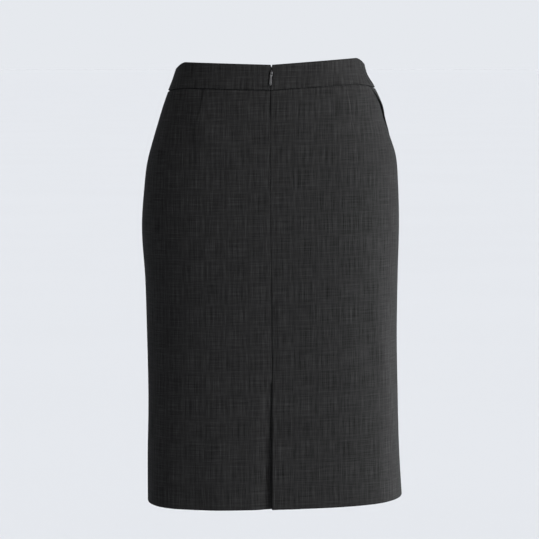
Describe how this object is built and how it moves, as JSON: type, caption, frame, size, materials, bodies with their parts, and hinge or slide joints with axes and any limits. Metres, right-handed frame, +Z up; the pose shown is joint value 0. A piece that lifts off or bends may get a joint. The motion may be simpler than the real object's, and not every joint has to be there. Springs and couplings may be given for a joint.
{
  "type": "pencil skirt",
  "caption": "Knee-length pencil skirt of plain suiting with a contoured waistband, a concealed zip with a hinged pull, a side pocket mouth and a centre back vent, open as worn.",
  "frame": {"origin": "centre of the waist at half the height of the waistband, where the wearer's waist holds the skirt", "axes": "+Z up, +Y towards the back of the skirt, +X towards the skirt's own left side"},
  "size_m": [0.3517, 0.239, 0.6002],
  "materials": {
    "suiting": "woven, matt with a faint sheen",
    "zip_tape": "woven tape, matt",
    "zip_metal": "satin nickel"
  },
  "bodies": {
    "skirt": {"front_panel": "suiting", "back_panel_left": "suiting", "back_panel_right": "suiting", "waistband_front": "suiting", "waistband_back_left": "suiting", "waistband_back_right": "suiting", "pocket_facing_right": "suiting", "zip_tape_left": "zip_tape", "zip_tape_right": "zip_tape", "zip_slider": "zip_metal"},
    "zip_tab": {"zip_pull": "zip_metal"}
  },
  "joints": [
    {"name": "pull_swing", "type": "hinge", "parent": "skirt", "child": "zip_tab", "pos_m": [0, 0.09627, 0.00545], "axis": [1, 0, 0], "range_deg": [0, 150]}
  ]
}
